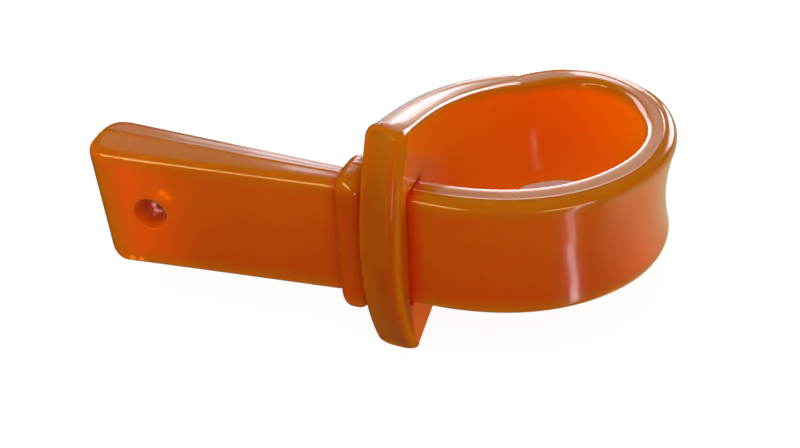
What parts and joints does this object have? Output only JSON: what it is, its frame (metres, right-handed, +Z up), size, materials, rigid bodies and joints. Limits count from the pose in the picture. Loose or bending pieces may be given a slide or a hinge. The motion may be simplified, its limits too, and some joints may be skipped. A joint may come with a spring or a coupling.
{
  "type": "strap clamp",
  "caption": "Closed loop clamp in flexible amber urethane: slotted head, bent band, stop collar and a wedge-shaped pull tail with a hole.",
  "frame": {"origin": "centre of the clamp's footprint, at its lowest point (the lower end of the slotted head)", "axes": "+X from the tail paddle towards the loop, along the strap through the slot; +Z up along the band's height; +Y to the loop's side"},
  "size_m": [0.1078, 0.0608, 0.0514],
  "materials": {
    "amber_head": "glossy translucent amber-orange urethane, thick section, browner in the body",
    "amber_band": "glossy translucent amber-orange urethane, thin section, glows orange",
    "amber_collar": "glossy translucent amber-orange urethane",
    "amber_paddle": "glossy translucent amber-orange urethane"
  },
  "bodies": {
    "head": {"head_plate": "amber_head", "head_arm": "amber_head"},
    "tail": {"strap_run": "amber_band", "stop_collar": "amber_collar"},
    "paddle": {"tail_paddle": "amber_paddle"},
    "band_01": {"band_segment_01": "amber_band"},
    "band_02": {"band_segment_02": "amber_band"},
    "band_03": {"band_segment_03": "amber_band"},
    "band_04": {"band_segment_04": "amber_band"},
    "band_05": {"band_segment_05": "amber_band"},
    "band_06": {"band_segment_06": "amber_band"},
    "band_07": {"band_segment_07": "amber_band"},
    "band_08": {"band_segment_08": "amber_band"}
  },
  "joints": [
    {"name": "tail_slide", "type": "slide", "parent": "head", "child": "tail", "axis": [-1, 0, 0], "range_m": [0, 0.006], "stiffness_N_per_m": 120},
    {"name": "paddle_flex", "type": "hinge", "parent": "tail", "child": "paddle", "pos_m": [-0.00665, -0.02162, 0.02571], "axis": [0, 0, 1], "range_deg": [-20, 20], "stiffness_Nm_per_rad": 0.03},
    {"name": "band_flex_01", "type": "hinge", "parent": "head", "child": "band_01", "pos_m": [0.01978, 0.02024, 0.02571], "axis": [0, 0, 1], "range_deg": [-1.86, 0]},
    {"name": "band_flex_02", "type": "hinge", "parent": "band_01", "child": "band_02", "pos_m": [0.02923, 0.02492, 0.02571], "axis": [0, 0, 1], "range_deg": [-3.28, 0]},
    {"name": "band_flex_03", "type": "hinge", "parent": "band_02", "child": "band_03", "pos_m": [0.0396, 0.02338, 0.02571], "axis": [0, 0, 1], "range_deg": [-3, 0]},
    {"name": "band_flex_04", "type": "hinge", "parent": "band_03", "child": "band_04", "pos_m": [0.04701, 0.01594, 0.02571], "axis": [0, 0, 1], "range_deg": [-1.74, 0]},
    {"name": "band_flex_05", "type": "hinge", "parent": "band_04", "child": "band_05", "pos_m": [0.04923, 0.00563, 0.02571], "axis": [0, 0, 1], "range_deg": [0, 0.57]},
    {"name": "band_flex_06", "type": "hinge", "parent": "band_05", "child": "band_06", "pos_m": [0.04627, -0.00453, 0.02571], "axis": [0, 0, 1], "range_deg": [0, 1.46]},
    {"name": "band_flex_07", "type": "hinge", "parent": "band_06", "child": "band_07", "pos_m": [0.03955, -0.01273, 0.02571], "axis": [0, 0, 1], "range_deg": [0, 2.97]},
    {"name": "band_flex_08", "type": "hinge", "parent": "band_07", "child": "band_08", "pos_m": [0.03046, -0.01824, 0.02571], "axis": [0, 0, 1], "range_deg": [0, 4.29]}
  ],
  "couplings": [
    {"joint": "band_flex_01", "follows": "tail_slide", "rad_per_m": -5.273},
    {"joint": "band_flex_02", "follows": "tail_slide", "rad_per_m": -9.401},
    {"joint": "band_flex_03", "follows": "tail_slide", "rad_per_m": -8.594},
    {"joint": "band_flex_04", "follows": "tail_slide", "rad_per_m": -4.912},
    {"joint": "band_flex_05", "follows": "tail_slide", "rad_per_m": 1.5},
    {"joint": "band_flex_06", "follows": "tail_slide", "rad_per_m": 4.111},
    {"joint": "band_flex_07", "follows": "tail_slide", "rad_per_m": 8.499},
    {"joint": "band_flex_08", "follows": "tail_slide", "rad_per_m": 12.334}
  ]
}
